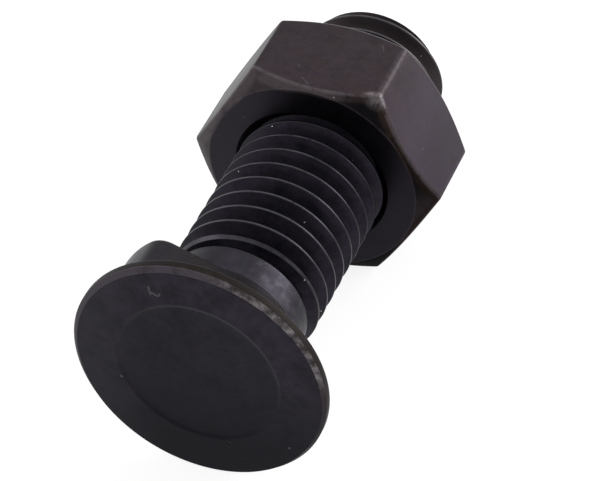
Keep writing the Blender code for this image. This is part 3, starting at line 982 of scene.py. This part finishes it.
def makeNutMaterial():
    material, surface, skin = startMaterial("oxideNut", nutLooks)
    tree, _, looks = surface
    tones = looks["tones"]
    measureNut(surface)
    # painted light on the flats at the right
    colour = coat(surface, skin["Colour"], "paintedLightVioletSide")
    # painted light: the end faces paler towards the left
    endTone = blend(tree, zone(surface, "paintedLightLeftEnds"), tones["face"], tones["paintedLitFace"])
    colour = coat(surface, colour, "ends", tone=endTone)
    # the chamfers: painted light at the left and along the lower right, painted shade nearly black in between
    chamfer = zone(surface, "chamfer")
    light = largest(tree, zone(surface, "paintedLitChamferLeft"), zone(surface, "paintedLitChamferRight"))
    chamferLightAndShadeTone = blend(tree, light, tones["shadeAndMarkBlack"], tones["paintedLitChamfer"])
    colour = coat(surface, colour, "chamfer", tone=chamferLightAndShadeTone)
    colour = coat(surface, colour, "chamferMottle", chamfer, light)
    # beside the flats they are tan, and brown at the right
    there = largest(tree, zone(surface, "upperBorder"), zone(surface, "rightBorder"))
    borderTone = blend(tree, zone(surface, "brownBorder"), tones["tan"], tones["brown"])
    colour = coat(surface, colour, "border", there, tone=borderTone)
    flats = zone(surface, "flats")
    colour = coat(surface, colour, "flatMottle", flats)
    # worn: the flats' ends, their corners, the face's round edge, and one bruised corner
    flatEnds = featureMask(surface, "flatEnds", flats)
    edges = largest(tree, flatEnds, featureMask(surface, "corners"), featureMask(surface, "faceEdge"))
    colour = coat(surface, colour, "edges", edges)
    bruise = featureMask(surface, "bruise")
    colour = blend(tree, bruise, colour, tones["worn"])
    scratched = scratches(surface, "scratches")
    colour = coat(surface, colour, "scratches", scratched)
    for name in ("brightMarks", "darkMarks"):
        colour = coat(surface, colour, name, scratches(surface, name))
    colour = addDust(surface, colour)
    dents = largest(tree, scratched, bruise)
    relief = number(tree, "SUBTRACT", skin["Height"], times(tree, dents, looks["dentDepth"]))
    roughness = number(tree, "MULTIPLY_ADD", chamfer, looks["chamferDulling"], skin["Roughness"])
    shade = times(tree, chamfer, zone(surface, "shade"))
    roughness = number(tree, "MULTIPLY_ADD", shade, looks["shadeDulling"], roughness)
    finishMaterial(surface, colour, roughness, relief)
    return material


for piece, material in ((plowBolt, makeBoltMaterial()), (hexNut, makeNutMaterial())):
    piece.data.materials.clear()
    piece.data.materials.append(material)
print("materials made:", ", ".join(group.name for group in effects.values()))


# floor, white surroundings and lamps
studio = {
    "floorSize": 6,                # in metres
    "floorColour": (0.90, 0.90, 0.90, 1),
    "floorGlow": 1.15,             # how bright the floor is where it is seen
    "shadowDepth": 0.25,           # how much of the floor's own shading is seen
    "worldLight": 0.55,            # on the object; the surroundings themselves are seen white
}


def seenRays(tree):    # 1 for what the camera sees, also in reflections and through glass
    path = addNode(tree, "LightPath").outputs
    return largest(tree, path["Is Camera Ray"], path["Is Glossy Ray"], path["Is Transmission Ray"])


def makeFloor():
    deselectAll()
    bpy.ops.mesh.primitive_plane_add(size=studio["floorSize"], location=(0, 0, 0))
    floor = bpy.context.object
    floor.name = "studioFloor"
    paint = bpy.data.materials.new("whiteFloor")
    paint.use_nodes = True
    tree = paint.node_tree
    tree.nodes.clear()
    diffuse = addNode(tree, "BsdfDiffuse", {"Color": studio["floorColour"]}).outputs[0]
    glow = addNode(tree, "Emission", {"Strength": studio["floorGlow"]}).outputs[0]
    share = times(tree, seenRays(tree), 1 - studio["shadowDepth"])
    mixed = addNode(tree, "MixShader", {"Fac": share, 1: diffuse, 2: glow}).outputs[0]
    addNode(tree, "OutputMaterial", {"Surface": mixed})
    floor.data.materials.append(paint)


def makeWorld():
    world = bpy.data.worlds.new("whiteStudio")
    bpy.context.scene.world = world
    world.use_nodes = True
    tree = world.node_tree
    tree.nodes.clear()
    white = (1, 1, 1, 1)
    light = addNode(tree, "Background", {"Color": white, "Strength": studio["worldLight"]}).outputs[0]
    seen = addNode(tree, "Background", {"Color": white}).outputs[0]
    mixed = addNode(tree, "MixShader", {"Fac": seenRays(tree), 1: light, 2: seen}).outputs[0]
    addNode(tree, "OutputWorld", {"Surface": mixed})


# azimuth from +Y towards +X and elevation in degrees, distance and size in metres, radiance
lamps = {
    "backRight": {"azimuth": 42, "elevation": 18, "distance": 1.2, "size": (1.1, 0.8), "radiance": 5.6},
    "overhead": {"azimuth": -10, "elevation": 52, "distance": 1.3, "size": (1.2, 0.9), "radiance": 1.8},
    "left": {"azimuth": -80, "elevation": 28, "distance": 1.3, "size": (1.1, 0.8), "radiance": 2.2},
}


def makeLamp(name, values):
    azimuth, elevation = math.radians(values["azimuth"]), math.radians(values["elevation"])
    flat = math.cos(elevation)
    direction = (math.sin(azimuth) * flat, math.cos(azimuth) * flat, math.sin(elevation))
    data = bpy.data.lights.new(name, "AREA")
    data.shape = "RECTANGLE"
    data.size, data.size_y = values["size"]
    data.energy = values["radiance"] * math.pi * values["size"][0] * values["size"][1]
    lamp = bpy.data.objects.new(name, data)
    bpy.context.scene.collection.objects.link(lamp)
    place = Vector(direction) * values["distance"]
    lamp.location = place
    lamp.rotation_euler = (-place).to_track_quat("-Z", "Y").to_euler()


makeFloor()
makeWorld()
for name, values in lamps.items():
    makeLamp(name, values)
print("floor, surroundings and lamps made")

view = {
    "place": (0.0889235, -0.2119535, 0.2339871),    # in metres
    "right": (0.9318275, 0.3621030, -0.0240743),
    "down": (0.2379723, -0.6597819, -0.7127809),
    "forward": (-0.2739830, 0.6584595, -0.7009739),
    "sensorWidth": 36,             # this and the lens in millimetres
    "lens": 186.092,
    "nearest": 0.01,               # what the camera sees starts here, in metres
}


def makeCamera():
    data = bpy.data.cameras.new("photoCamera")
    data.sensor_fit = "HORIZONTAL"
    data.sensor_width = view["sensorWidth"]
    data.lens = view["lens"]
    data.clip_start = view["nearest"]
    camera = bpy.data.objects.new("photoCamera", data)
    bpy.context.scene.collection.objects.link(camera)
    rows = [(view["right"][i], -view["down"][i], -view["forward"][i], view["place"][i]) for i in range(3)]
    camera.matrix_world = Matrix(rows + [(0, 0, 0, 1)])
    bpy.context.scene.camera = camera


makeCamera()
bpy.context.scene.view_settings.view_transform = "Standard"
print("camera placed")
